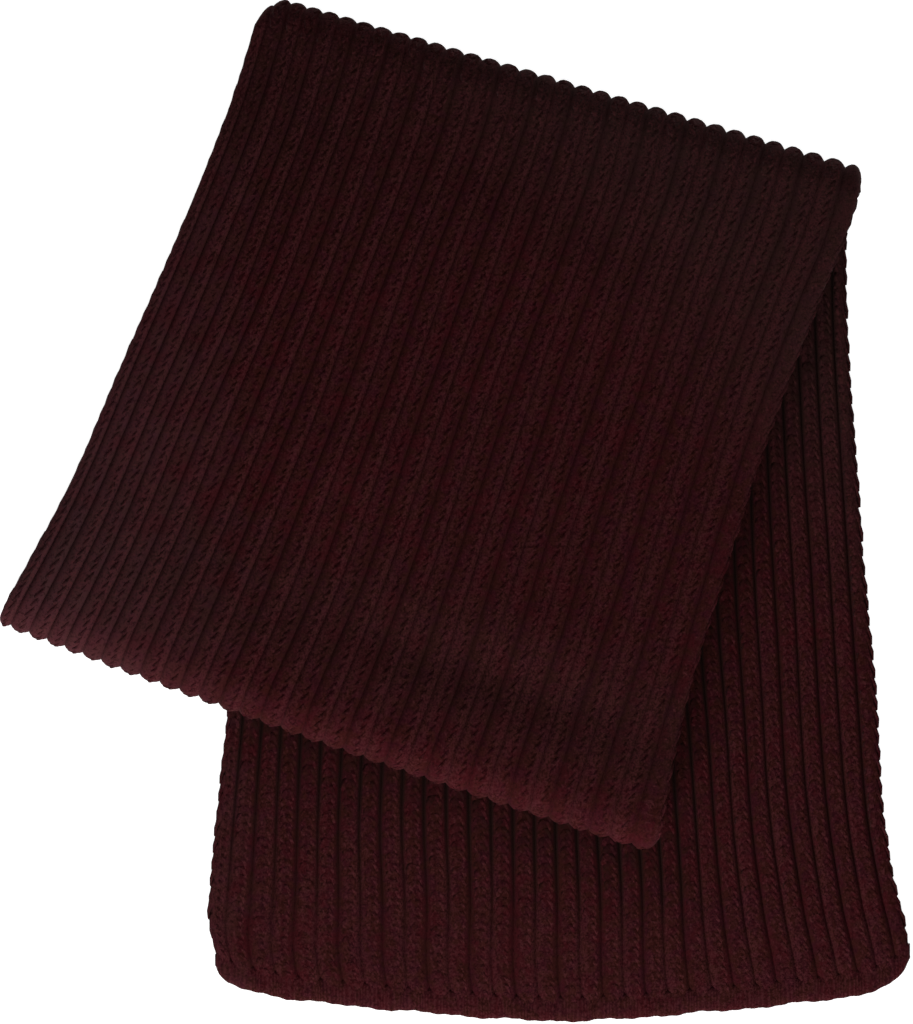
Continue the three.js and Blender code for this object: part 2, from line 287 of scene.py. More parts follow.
# The lower end
def lower_plan(across, up):
    """A point of the lower end, seen from above."""
    x, y = between(LOWER_EDGES, "up", up, across)
    return x, y - read(HEM_DROP, "across", across, "drop") * read(LOWER_EDGES, "up", up, "bow")


LENGTH_PLACES = 161


def lower_lengths():
    """For each rib's middle, its length from the hem up to each of many places along it."""
    ups = np.linspace(0, 1, LENGTH_PLACES)
    across, up = np.meshgrid(RIB_MIDDLES, ups, indexing="ij")
    x, y = lower_plan(across, up)
    steps = np.hypot(np.diff(x, axis=1), np.diff(y, axis=1))
    return ups, np.concatenate([np.zeros((RIBS, 1)), np.cumsum(steps, axis=1)], axis=1)


LOWER_UPS, LOWER_LENGTHS = lower_lengths()


def lower_up(rib, run):
    """The place up the lower end at a length from the hem along a rib."""
    up = np.zeros(np.shape(run))
    for number in range(RIBS):
        chosen = rib == number
        up[chosen] = np.interp(run[chosen], LOWER_LENGTHS[number], LOWER_UPS)
    below = run < 0
    up[below] = run[below] / LOWER_LENGTHS[0, -1]
    return up


def near_hem(up):
    """How near a place on the lower end is to the hem, from 0 to 1."""
    return 1 - smoothstep(up, WALL_FOOT, HEM_NEARNESS)


def lower_at(across, up, depth):
    """A point of the lower end, at a depth below the ribs' crests. The ribs go down to the hem's height."""
    moved = across + stray(LOWER_STRAY, "up", across, up) + wander(across, up * LOWER_REACH)
    x, y = lower_plan(moved, up)
    height = CLOTH_DEPTH - depth
    height = height + (soft_rise(LOWER_FOLDS, x, y) - HEM_STEP * near_hem(up)) * np.clip(height / 3, 0, 1)
    return np.stack([x, y, height], axis=-1)


def lower_point(rib, across, run, depth):
    """A point of a stitch of the lower end. The ribs' ends are pulled in at the hem."""
    up = lower_up(rib, run)
    middle = RIB_MIDDLES[rib]
    return lower_at(middle + (across - middle) * (1 - HEM_PINCH * near_hem(up)), up, depth)


# The bundle
def left_of_lower_end(x, y):
    """How far a place is to the left of the lower end's left selvedge."""
    return np.interp(y, LOWER_EDGES["left_y"], LOWER_EDGES["left_x"]) - x


def bundle_base(x, y):
    """Where the bundle's underside lies: on the lower end, or drooping to the surface beside it."""
    return (CLOTH_DEPTH + SEAM_GAP) * (1 - smoothstep(left_of_lower_end(x, y), RAMP_NEAR, RAMP_FAR))


def bundle_top(x, y):
    """The height of the bundle's top, which is less beside the lower end than on it."""
    share = smoothstep(left_of_lower_end(x, y), -HEIGHT_BLEND, HEIGHT_BLEND)
    return lerp(HEIGHT_ON_CLOTH, HEIGHT_ON_FLOOR, share) + soft_rise(BUNDLE_FOLDS, x, y)


def panel_plan(across, down):
    """A point of the bundle, seen from above."""
    x, y = between(PANEL_EDGES, "down", down, across)
    return x, y - BOTTOM_FOLD_BOW * np.sin(pi * across) * smoothstep(down, 0.5, 1)


def panel_length(across):
    """The bundle's length from its top fold to its bottom fold."""
    top_x, top_y = between(PANEL_EDGES, "down", np.zeros(np.shape(across)), across)
    bottom_x, bottom_y = between(PANEL_EDGES, "down", np.ones(np.shape(across)), across)
    return np.hypot(top_x - bottom_x, top_y - bottom_y)


def corner_inset(across, at_top):
    """How far the rounded corners draw a fold's outline in, near the selvedges."""
    inset = 0
    for side, from_edge in enumerate((across * PANEL_WIDTH, (1 - across) * PANEL_WIDTH)):
        wide, tall = (np.where(at_top, *pair) for pair in zip(TOP_CORNERS[side], BOTTOM_CORNERS[side]))
        short = np.clip(1 - from_edge / wide, 0, 0.98)
        inset = inset + tall * (1 - np.sqrt(1 - short**2))
    return inset


def panel_flat(length):
    """The length of the panel's cloth between its folds."""
    return length - 2 * FOLD_REACH


def fold_shares(across, run):
    """How far the cloth is bent round the bottom fold, and round the top one, from 0 to 1."""
    flat_end = FOLD_ARC + panel_flat(panel_length(across))
    return 1 - smoothstep(run, *BOTTOM_BEND), smoothstep(run - flat_end, *TOP_BEND)


def panel_relief(across, run):
    """How high the panel's stitches stand, as a share of their full height: hardly at all round the top
    fold."""
    _, at_top = fold_shares(across, run)
    return 1 - TOP_FLATTENED * at_top


def shallower(depth, share):
    """The wall's depth with its valleys' depth taken down to a share."""
    return np.where(depth < CLOTH_DEPTH, np.minimum(depth, lerp(UNDER_STITCHES, depth, share)), depth)


def panel_wall_depth(across, run, depth):
    """The wall's depth, with shallower valleys on the flat of the panel and hardly any round its folds."""
    at_bottom, at_top = fold_shares(across, run)
    on_flat = shallower(depth, PANEL_VALLEY)
    bent = FOLD_WALL + BOTTOM_WALL * at_bottom
    return np.where(depth < CLOTH_DEPTH, lerp(on_flat, bent, at_bottom + at_top), depth)


def fold_bumps(rib, across, run):
    """How far a rib's sides are drawn in round the folds, which makes rounded bumps of their outline. They
    are shallower at the left of the top fold."""
    at_bottom, at_top = fold_shares(across, run)
    aside = np.clip(np.abs(across - RIB_MIDDLES[rib]) / RIB_HALVES[rib], 0, 1)
    return aside**BUMP_POWER * (at_bottom * BOTTOM_BUMP + at_top * lerp(*TOP_BUMPS, across))


def panel_point(rib, across, run, depth):
    """A point of the top panel. Run goes up the cloth from the underside of the bottom fold, over the
    bundle, to the underside of the top fold."""
    depth = np.where(depth < CLOTH_DEPTH, depth + fold_bumps(rib, across, run), depth)
    length = panel_length(across)
    flat = panel_flat(length)
    on_flat = np.clip(run - FOLD_ARC, 0, flat)
    moved = across + stray(PANEL_STRAY, "down", across, 1 - (FOLD_REACH + on_flat) / length)
    across = moved + wander(across, run)
    past_flat = run - FOLD_ARC - flat
    at_top = past_flat > 0
    turned = np.where(at_top, FOLD_ARC - past_flat, run) / FOLD_ARC
    turn = np.clip(turned, 0, 1) * pi - pi / 2
    reach = np.cos(turn)

    def plan(depth):
        inset = FOLD_REACH * (1 - reach) + corner_inset(across, at_top) * reach + depth * reach
        return panel_plan(across, np.where(at_top, inset, length - inset - on_flat) / length)

    crest_x, crest_y = plan(0)
    x, y = plan(depth)
    low = np.where(at_top, 0, bundle_base(crest_x, crest_y))
    middle = (low + bundle_top(crest_x, crest_y)) / 2
    return np.stack([x, y, middle + (middle - low - depth) * np.sin(turn)], axis=-1)


def layer_at(layer, across, down, height):
    """A point of one of the folded layers between the lower end and the top panel. Height runs from 0 on
    its underside to 1 on its top."""
    x, y = panel_plan(across, down)
    base = bundle_base(x, y)
    high = bundle_top(x, y) - CLOTH_DEPTH - SEAM_GAP
    return np.stack([x, y, lerp(base, high, (layer + height) / LAYERS)], axis=-1)


# Meshes
def points_of(mesh):
    points = np.empty(len(mesh.vertices) * 3)
    mesh.vertices.foreach_get("co", points)
    return points.reshape(-1, 3)


def add_yarn_data(mesh, uvs, tones):
    """A UV map along and round the yarn, and each stitch's own tone, lowered where shade is painted between
    the ribs and beside the bundle.
    """
    loops = np.empty(len(mesh.loops), int)
    mesh.loops.foreach_get("vertex_index", loops)
    mesh.uv_layers.new(name="yarn").data.foreach_set("uv", uvs[loops].ravel())
    mesh.attributes.new("tone", "FLOAT", "POINT").data.foreach_set("value", tones)


def add_piece(mesh, material, slot, *nodes):
    """A finished piece of the scarf, which stands for the named nodes."""
    mesh.materials.append(material)
    mesh.shade_smooth()
    piece = bpy.data.objects.new(mesh.name, mesh)
    bpy.context.collection.objects.link(piece)
    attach(piece, "root")
    if nodes:
        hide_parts(*nodes)
    return piece


def merged(name, meshes):
    """One mesh of several, which are removed."""
    shape = bmesh.new()
    for mesh in meshes:
        shape.from_mesh(mesh)
        bpy.data.meshes.remove(mesh)
    joined = bpy.data.meshes.new(name)
    shape.to_mesh(joined)
    shape.free()
    return joined


def slab(name, columns, rows):
    """A closed flat slab with a corner at each whole number across, up and down, in a new mesh, and the
    numbers of each corner. Its top is at height 1 and its underside at 0."""
    shape = bmesh.new()
    bmesh.ops.create_grid(shape, x_segments=columns, y_segments=rows, size=0.5)
    bmesh.ops.solidify(shape, geom=shape.faces[:], thickness=0.5)
    bmesh.ops.recalc_face_normals(shape, faces=shape.faces)
    mesh = bpy.data.meshes.new(name)
    shape.to_mesh(mesh)
    shape.free()
    corner = points_of(mesh)
    low = corner.min(axis=0)
    corner = (corner - low) / (corner.max(axis=0) - low)
    return mesh, np.rint(corner * (columns, rows, 1)).astype(int)


# Where the wall has corners across a rib, from its left side (-1). The next rib's first is its right side.
RIB_PLACES = np.array([-1, -0.92, -0.72, -0.42, -0.12, 0.12, 0.42, 0.72, 0.92])


def rib_columns():
    """Places across the cloth, with how far each is from its rib's middle, from -1 to 1, and its rib."""
    across = np.append((RIB_MIDDLES[:, None] + RIB_HALVES[:, None] * RIB_PLACES).ravel(), 1)
    near_edge = 1 - smoothstep(np.minimum(across, 1 - across), 0, RIB_EDGES[1])
    across = across + EDGE_INSET * near_edge * np.sign(0.5 - across)
    aside = np.tile(RIB_PLACES, RIBS)
    rib = np.repeat(np.arange(RIBS), len(RIB_PLACES))
    return across, np.append(aside, 1), np.append(rib, RIBS - 1)


def wall_depth(aside, top):
    """Depth below the crests: a rope-like rib's face on top, and the cloth's plain back."""
    rope = UNDER_STITCHES + VALLEY * (1 - np.sqrt(1 - np.abs(aside) ** ROPE_POWER))
    rope = rope + GROOVE * (1 - smoothstep(np.abs(aside), 0.1, 0.45))
    return np.where(top, rope, CLOTH_DEPTH)


WALL_TONE = 0.35
WALL_MAP = (1 / 40, 8)  # how far the yarn's UV map goes down the wall and across it


def cloth_wall(name, row_places, place, shades, shade_at=None):
    """A thin closed ribbed wall of cloth behind the stitches. Shades says how much painted shade darkens the
    cloth between the ribs at each row, and shade_at how much painted shadow darkens the whole cloth at each
    place."""
    across, aside, rib = rib_columns()
    mesh, corner = slab(name, len(across) - 1, len(row_places) - 1)
    column, row, top = corner.T
    points = place(rib[column], across[column], row_places[row], wall_depth(aside[column], top == 1))
    mesh.vertices.foreach_set("co", (points * MM).ravel())
    uvs = np.stack([row_places[row], across[column]], axis=-1) * WALL_MAP
    # painted shade: the cloth between the ribs is darkened by shades, and the whole cloth by shade_at
    tones = WALL_TONE - (1 + WALL_TONE) * shades[row] * smoothstep(np.abs(aside[column]), 0.7, 0.95)
    if shade_at:
        tones = tones - shade_at(points[:, 0], points[:, 1])
    add_yarn_data(mesh, uvs, tones)
    mesh.update()
    return mesh


# A strand of yarn: for each corner of its mesh, the ring that it is on, its angle round the strand and
# whether it is a tip, and then the faces' corners and where each face starts among them
Strand = namedtuple("Strand", "ring angle tip loops starts")
STRAND_RINGS = 5


def strand_shape():
    """A tube with pointed ends."""
    shape = bmesh.new()
    sides = len(YARN_SIDES)
    cone = dict(segments=sides, radius1=1, radius2=1, depth=1, cap_ends=True, cap_tris=True)
    bmesh.ops.create_cone(shape, **cone)
    lengthwise = [edge for edge in shape.edges if abs(edge.verts[0].co.z - edge.verts[1].co.z) > 0.5]
    bmesh.ops.subdivide_edges(shape, edges=lengthwise, cuts=STRAND_RINGS - 2)
    bmesh.ops.recalc_face_normals(shape, faces=shape.faces)
    shape.verts.index_update()
    corner = np.array([vertex.co for vertex in shape.verts])
    tip = np.hypot(corner[:, 0], corner[:, 1]) < 0.5
    ring = 1 + np.rint((corner[:, 2] + 0.5) * (STRAND_RINGS - 1)).astype(int)
    ring[tip] = np.where(corner[tip, 2] < 0, 0, STRAND_RINGS + 1)
    turned = np.arctan2(corner[:, 1], corner[:, 0]) - atan2(corner[0, 1], corner[0, 0])
    side = np.rint(turned / tau * sides).astype(int) % sides
    angle = np.radians(np.array(YARN_SIDES, float)[side])
    loops = np.array([vertex.index for face in shape.faces for vertex in face.verts])
    sizes = [len(face.verts) for face in shape.faces]
    shape.free()
    return Strand(ring, angle, tip, loops, np.cumsum([0] + sizes[:-1]))


STRAND = strand_shape()


def bent_strand(places, half_rib, crest, rise, row_turn, side_turn):
    """A strand's corners beside a rib's middle line: across it, along it in nominal rows' millimetres, and
    up from the rib's crest. Its centre line goes round a rib's rope, whose rounding is rise deep and whose
    highest place is at crest. A side_turn of -1 puts it on the rib's left side."""
    turn = np.radians([90 - (90 - place.turn) * side_turn for place in places])
    sink = np.array([place.sink for place in places])
    row = np.array([place.row for place in places]) * row_turn * NOMINAL_ROW
    reach = half_rib - LEG_SEAT * LEG_HALF_WIDTH
    outward = np.stack([np.cos(turn), np.zeros(len(turn)), np.sin(turn)], axis=-1)
    centre = np.stack([reach * np.cos(turn), row, crest - rise * (1 - np.sin(turn))], axis=-1)
    centre = centre - outward * sink[:, None]
    tangent = np.gradient(centre, axis=0) * row_turn
    tangent /= np.linalg.norm(tangent, axis=1)[:, None]
    side = np.cross(outward, tangent)
    side /= np.linalg.norm(side, axis=1)[:, None]
    lift = np.cross(tangent, side)
    angle = STRAND.angle
    width = np.where(STRAND.tip, 0, LEG_HALF_WIDTH) * np.cos(angle)
    height = np.where(STRAND.tip, 0, LEG_HALF_HEIGHT) * np.sin(angle)
    ring = STRAND.ring if row_turn > 0 else STRAND_RINGS + 1 - STRAND.ring
    return centre[ring] + side[ring] * width[:, None] + lift[ring] * height[:, None]


def joined_mesh(name, points, uvs, tones):
    """One mesh of many strands: points has a row for each strand and a place for each of its corners."""
    count, corners = points.shape[:2]
    mesh = bpy.data.meshes.new(name)
    loops = (STRAND.loops + corners * np.arange(count)[:, None]).ravel()
    starts = (STRAND.starts + len(STRAND.loops) * np.arange(count)[:, None]).ravel()
    mesh.vertices.add(count * corners)
    mesh.vertices.foreach_set("co", (points * MM).ravel())
    mesh.loops.add(len(loops))
    mesh.loops.foreach_set("vertex_index", loops)
    mesh.polygons.add(len(starts))
    mesh.polygons.foreach_set("loop_start", starts)
    mesh.update(calc_edges=True)
    add_yarn_data(mesh, uvs.reshape(-1, 2), np.repeat(tones, corners))
    return mesh


RINGS_PER_WIDTH = 2.4  # how many of a strand's rings come to one width of its yarn
YARN_STARTS = 40  # the longest way along the yarn, in its widths, to a strand's start


def yarn_uvs(count, chance):
    """Along the yarn in its widths, from a different place in each strand, and once round it."""
    along = STRAND.ring / RINGS_PER_WIDTH + chance.uniform(0, YARN_STARTS, (count, 1))
    around = (STRAND.angle / tau + 0.25) % 1
    return np.stack(np.broadcast_arrays(along, around), axis=-1)


def knit(name, place, ribs, runs, shapes, row, chance, relief=None, shade=0):
    """Stitches, each with the strands of shapes, laid by place. Ribs has each stitch's rib, and runs its
    place along that rib. Relief gives how high the stitches stand, and shade how much painted shadow darkens
    each."""
    rise = relief(RIB_MIDDLES[ribs], runs)[:, None] if relief else 1
    parts, tones = [], []
    for shape in shapes:
        count = len(ribs)
        size = 1 + chance.normal(0, SIZE_SPREAD, (count, 1))
        slip = chance.normal(0, SLIP_SPREAD, (count, 1)) * row
        sway = chance.normal(0, SWAY_SPREAD, (count, 1))
        lift = chance.normal(0, LIFT_SPREAD, (count, 1))
        half = RIB_HALVES[ribs][:, None]
        nominal = np.where((ribs == 0) | (ribs == RIBS - 1), EDGE_HALF_RIB, HALF_RIB)[:, None]
        across = RIB_MIDDLES[ribs][:, None] + half * (shape[:, 0] * size + sway) / nominal
        run = runs[:, None] + shape[:, 1] * row / NOMINAL_ROW * size + slip
        depth = lift - shape[:, 2] * rise
        rib = np.broadcast_to(ribs[:, None], run.shape)
        parts.append(place(rib, across, run, depth))
        tones.append(chance.uniform(0, 1, count) - shade)
    points = np.concatenate(parts)
    return joined_mesh(name, points, yarn_uvs(len(points), chance), np.concatenate(tones))


def leg_pair(row_turn):
    """The two legs of a V, which meet at its foot, or at its head where row_turn is -1."""
    return [bent_strand(LEG, HALF_RIB, -LEG_HALF_HEIGHT, RIB_RISE, row_turn, side) for side in (1, -1)]


def selvedge(name, place, rib, first, last, row, row_turn, bulge, outset, chance):
    """The rope of one selvedge: legs on top, and loops of two rows each round the cloth's edge, which
    stand out by bulge and lie further out by outset."""
    side = -1 if rib == 0 else 1
    rise = CLOTH_DEPTH / 2 - LEG_HALF_HEIGHT
    loop = [Place(turn, along, sink if sink > 1 else sink * bulge) for turn, along, sink in EDGE_LOOP]
    strands = (("legs", LEG, 0, -side, row), ("loops", loop, outset, side, 2 * row))
    meshes = []
    for part, places, out, toward, step in strands:
        at, runs = stitch_places([rib], first, [last], step)
        shapes = [bent_strand(places, EDGE_HALF_RIB + out, -LEG_HALF_HEIGHT, rise, row_turn, toward)]
        meshes.append(knit(f"{name}_{part}", place, at, runs, shapes, step, chance))
    return meshes


def stitch_places(ribs, first, last, row):
    """Every rib's number and place along it for each stitch, a row apart, from first to last of each rib."""
    numbers, runs = [], []
    for rib, end in zip(ribs, last):
        along = np.arange(first, end, row)
        numbers.append(np.full(len(along), rib))
        runs.append(along)
    return np.concatenate(numbers), np.concatenate(runs)


# The materials
class Value:
    """A node's output, on which Python's arithmetic adds Math nodes."""

    def __init__(self, tree, socket):
        self.tree, self.socket = tree, socket

    def math(self, operation, *values):
        return self.tree.node("ShaderNodeMath", dict(operation=operation), *values)

    def __add__(self, other):
        return self.math("ADD", self, other)

    def __mul__(self, other):
        return self.math("MULTIPLY", self, other)

    def sine(self):
        return self.math("SINE", self)

    __radd__, __rmul__ = __add__, __mul__


def chosen(sockets, key):
    """A socket by its place among the others, or by its identifier or name."""
    if isinstance(key, int):
        return sockets[key]
    return next(socket for socket in sockets if key in (socket.identifier, socket.name))


class Finish:
    """A material under construction."""

    def __init__(self, name):
        self.material = bpy.data.materials.new(name)
        self.material.use_nodes = True
        self.nodes = self.material.node_tree.nodes
        self.links = self.material.node_tree.links
        self.shader = self.nodes["Principled BSDF"]

    def feed(self, socket, value):
        if isinstance(value, Value):
            self.links.new(value.socket, socket)
        else:
            socket.default_value = value

    def node(self, kind, settings, *values, output=0, **named):
        """A node with its settings, and then values or links by place or by socket."""
        node = self.nodes.new(kind)
        for name, setting in settings.items():
            setattr(node, name, setting)
        for key, value in [*enumerate(values), *named.items()]:
            self.feed(chosen(node.inputs, key), value)
        return Value(self, chosen(node.outputs, output))

    def mix(self, share, a, b):
        """Colour a, going to colour b with share."""
        ends = dict(Factor_Float=share, A_Color=a, B_Color=b)
        return self.node("ShaderNodeMix", dict(data_type="RGBA"), output="Result_Color", **ends)

    def tinted(self, colour, *tints):
        """A colour that goes to each tint in turn, with that tint's share."""
        for share, tint in tints:
            colour = self.mix(share, colour, tint)
        return colour

    def noise(self, place, scale, detail):
        return self.node("ShaderNodeTexNoise", {}, Vector=place, Scale=scale, Detail=detail, Roughness=0.6)

    def spread(self, value, low, high):
        """Value from low to high, as 0 to 1."""
        return self.node("ShaderNodeMapRange", dict(clamp=True), value, low, high)

    def parts(self, vector):
        """A vector's three values."""
        first = self.node("ShaderNodeSeparateXYZ", {}, vector)
        return [Value(self, output) for output in first.socket.node.outputs]

    def surface(self, settings):
        """Feeds the shader's inputs, by their names."""
        for name, value in settings.items():
            self.feed(self.shader.inputs[name], value)


PLUM = (0.0250, 0.0031, 0.0055, 1)
BROWN = (0.0240, 0.0044, 0.0034, 1)
RED = (0.0305, 0.0030, 0.0042, 1)
PALE = (0.0560, 0.0130, 0.0150, 1)
DEEP = (0.0070, 0.0010, 0.0012, 1)
# a dark olive for painted shade between the ribs and beside the bundle
PAINTED_SHADE_OLIVE = (0.0075, 0.0036, 0.0026, 1)
# a pale greyish colour for painted sheen towards the left
PAINTED_SHEEN_PALE = (0.1000, 0.0480, 0.0560, 1)
# a dim colour for painted shade towards the top and in the trough above the bottom fold
PAINTED_SHADE_DIM = (0.0100, 0.0070, 0.0060, 1)
# a grey colour for painted sheen towards the right
PAINTED_SHEEN_GREY = (0.0250, 0.0150, 0.0140, 1)
# a lighter red for painted light on the bottom fold's flank
PAINTED_LIGHT_RED = (0.0430, 0.0030, 0.0050, 1)
SHEEN = (1, 0.55, 0.55, 1)
WHITE = (1, 1, 1, 1)
TABLE_DARK = (0.5, 0.5, 0.5, 1)
TABLE_LIGHT = (0.54, 0.54, 0.54, 1)
FOLD_LINE = (0.33, 0.944)  # the way straight up from the bottom fold, across and upwards


def fibre_patches(finish, clouds, lots):
    """Patches of differently dyed fibres."""
    reds = finish.spread(lots * 0.5 + clouds * 0.5, 0.5, 0.62)
    return finish.tinted(BROWN, (finish.spread(clouds, 0.42, 0.6), PLUM), (reds, RED))


def painted_light_by_place(finish, colour, place, lots, flecks):
    """Painted light and shade over the scarf: a pale painted sheen towards the left, painted shade towards
    the top and in the trough above the bottom fold, a grey painted sheen towards the right, and painted
    light, redder, on the bottom fold's flank."""
    across, upward, height = finish.parts(place)
    towards_left = finish.spread(across + lots * 0.05, -0.06, -0.15)
    towards_top = finish.spread(upward + lots * 0.05, 0.12, 0.2)
    towards_right = finish.spread(across + upward * 0.8 + lots * 0.04, 0.14, 0.22)
    on_bundle = finish.spread(height, 0.006, 0.009)
    from_fold = across * FOLD_LINE[0] + upward * FOLD_LINE[1] + lots * 0.012
    # the trough above the bottom fold, where shade is painted
    above_fold = finish.spread(from_fold, -0.09, -0.07) * finish.spread(from_fold, -0.02, -0.05) * on_bundle
    # the bottom fold's flank, where light is painted
    painted_flank_light = finish.spread(from_fold, -0.088, -0.1) * on_bundle
    return finish.tinted(
        colour,
        # painted sheen: paler and greyer towards the left
        (towards_left * 0.25 + flecks * 0.02, PAINTED_SHEEN_PALE),
        # painted shade: darker towards the top
        (towards_top * 0.3, PAINTED_SHADE_DIM),
        # painted sheen: greyer towards the right
        (towards_right * 0.38, PAINTED_SHEEN_GREY),
        # painted shade in the trough above the bottom fold
        (above_fold * 0.25, PAINTED_SHADE_DIM),
        # painted light: lighter and redder on the bottom fold's flank
        (painted_flank_light * 0.22, PAINTED_LIGHT_RED),
    )


def yarn_finish(name, turns_along, turns_around):
    """Marled yarn: twisted plies of mixed dyed fibres with a soft nap, with painted light and shade over the
    scarf, between its ribs and beside the bundle.
    """
    finish = Finish(name)
    place = finish.node("ShaderNodeTexCoord", {}, output="Object")
    along, around, _ = finish.parts(finish.node("ShaderNodeUVMap", dict(uv_map="yarn")))
    tone = finish.node("ShaderNodeAttribute", dict(attribute_name="tone"), output="Fac")
    plies = ((along * turns_along + around * turns_around) * tau).sine() * 0.5 + 0.5
    fibres = finish.noise(place, 1300, 3)
    flecks = finish.noise(place, 650, 2)
    clouds = finish.noise(place, 170, 2)
    lots = finish.noise(place, 80, 1)
    colour = painted_light_by_place(finish, fibre_patches(finish, clouds, lots), place, lots, flecks)
    pale = finish.spread(fibres * 0.8 + plies * 0.15 + tone * 0.15 + flecks * 0.4, 0.7, 0.98)
    dark = finish.spread(flecks * 0.7 + fibres * 0.5, 0.58, 0.42)
    # painted shade: a tone below 0 darkens the yarn towards a dark olive, between the ribs and beside the
    # bundle
    painted_shade = finish.spread(tone, 0, -1)
    colour = finish.tinted(colour, (pale * 0.75, PALE), (dark * 0.6, DEEP), (painted_shade * 0.85, PAINTED_SHADE_OLIVE))
    relief = plies * 0.3 + fibres * 0.5
    finish.surface({
        "Base Color": colour,
        "Roughness": 0.95,
        "Specular IOR Level": 0.03,
        "Sheen Weight": 0.02,
        "Sheen Roughness": 0.5,
        "Sheen Tint": SHEEN,
        "Normal": finish.node("ShaderNodeBump", {}, Strength=0.35, Distance=0.0006, Height=relief),
    })
    return finish.material


def floor_finish():
    """A plain white table that gives off its own light."""
    finish = Finish("white_table")
    place = finish.node("ShaderNodeTexCoord", {}, output="Object")
    finish.surface({
        "Base Color": finish.mix(finish.noise(place, 40, 3), TABLE_DARK, TABLE_LIGHT),
        "Roughness": 0.9,
        "Specular IOR Level": 0.1,
        "Emission Color": WHITE,
        "Emission Strength": 0.9,
    })
    return finish.material


YARN = yarn_finish("burgundy_marl", 1.3, 2)
HEM_YARN = yarn_finish("hem_marl", 1, 0)


# The pieces
def even_places(first, last, step):
    """Evenly spaced places about a step apart."""
    return np.linspace(first, last, int((last - first) / step) + 1)


UNDERSIDE = 7  # the length at each end of the panel, under its folds, that has no stitches
PANEL_ROWS = 100
PANEL_PARTS = 3  # into how many pieces the panel's stitches are parted
PANEL_BULGES, PANEL_OUTSETS = (0.5, 0.8), (0.2, 0.4)


def top_panel():
    def place(rib, across, share, depth):
        run = share * (panel_flat(panel_length(across)) + 2 * FOLD_ARC)
        return panel_point(rib, across, run, panel_wall_depth(across, run, depth))

    rows = even_places(0, 1, 1 / PANEL_ROWS)
    # painted shade between the ribs, least round the bottom fold
    shades = 0.1 + 0.15 * smoothstep(rows, 0.08, 0.25)
    wall = cloth_wall("panel_cloth", rows, place, shades)
    cloth = add_piece(wall, YARN, "ribbed_knit", "top_panel")
    chance = np.random.default_rng(11)
    ends = panel_flat(panel_length(RIB_MIDDLES)) + 2 * FOLD_ARC - UNDERSIDE
    for number, ribs in enumerate(np.array_split(np.arange(1, RIBS - 1), PANEL_PARTS)):
        at, runs = stitch_places(ribs, UNDERSIDE, ends[ribs], PANEL_ROW)
        runs = runs + 0.8 * np.sin(at * 0.7)
        name = f"panel_stitches_{number + 1}"
        mesh = knit(name, panel_point, at, runs, leg_pair(1), PANEL_ROW, chance, panel_relief)
        add_piece(mesh, YARN, "ribbed_knit")
    stretch = (UNDERSIDE, ends, PANEL_ROW, 1)
    selvedges("panel_selvedges", panel_point, stretch, PANEL_BULGES, PANEL_OUTSETS, chance)


def selvedges(name, place, stretch, bulges, outsets, chance):
    """The ropes of both selvedges, with the bulge and the outset of each. Stretch has where they start, each
    rib's end, the row's length, and 1 or -1 for the way that the rows go."""
    first, ends, row, row_turn = stretch
    meshes = []
    for rib, bulge, outset in zip((0, RIBS - 1), bulges, outsets):
        meshes += selvedge(name, place, rib, first, ends[rib], row, row_turn, bulge, outset, chance)
    return add_piece(merged(name, meshes), YARN, "ribbed_knit")


SHOWN_UNDER = 14  # how far under the bundle the lower end still has stitches
CONTACT_SHADE = 0.7  # painted contact shadow: how much darker the lower end is painted right beside the bundle
CONTACT_NEAR, CONTACT_FAR = -5, 50
CONTACT_SIDE = 1.5  # how much sooner the painted shadow ends at the right of the bundle
LOWER_ROWS = 90
FIRST_STITCH = 1.4  # how far above the hem the stitches start
FIRST_LOOP = -1.5  # and the selvedges, which start behind it
LOWER_BULGES, LOWER_OUTSETS = (0.7, 1.1), (1.1, 0.7)


def beyond_bundle(x, y):
    """How far a place is below the bundle's bottom fold, and how far to the right of its selvedge."""
    line = (PANEL_EDGES["left_x"][-1], PANEL_EDGES["right_x"][-1])
    heights = (PANEL_EDGES["left_y"][-1], PANEL_EDGES["right_y"][-1])
    right = np.interp(y, PANEL_EDGES["right_y"][::-1], PANEL_EDGES["right_x"][::-1])
    return np.interp(x, line, heights) - y, x - right


def painted_contact_shadow(x, y):
    """Painted contact shadow: how much darker the lower end is painted near the bundle."""
    below, beside = beyond_bundle(x, y)
    away = np.maximum(below, beside * CONTACT_SIDE)
    return CONTACT_SHADE * (1 - smoothstep(away, CONTACT_NEAR, CONTACT_FAR))


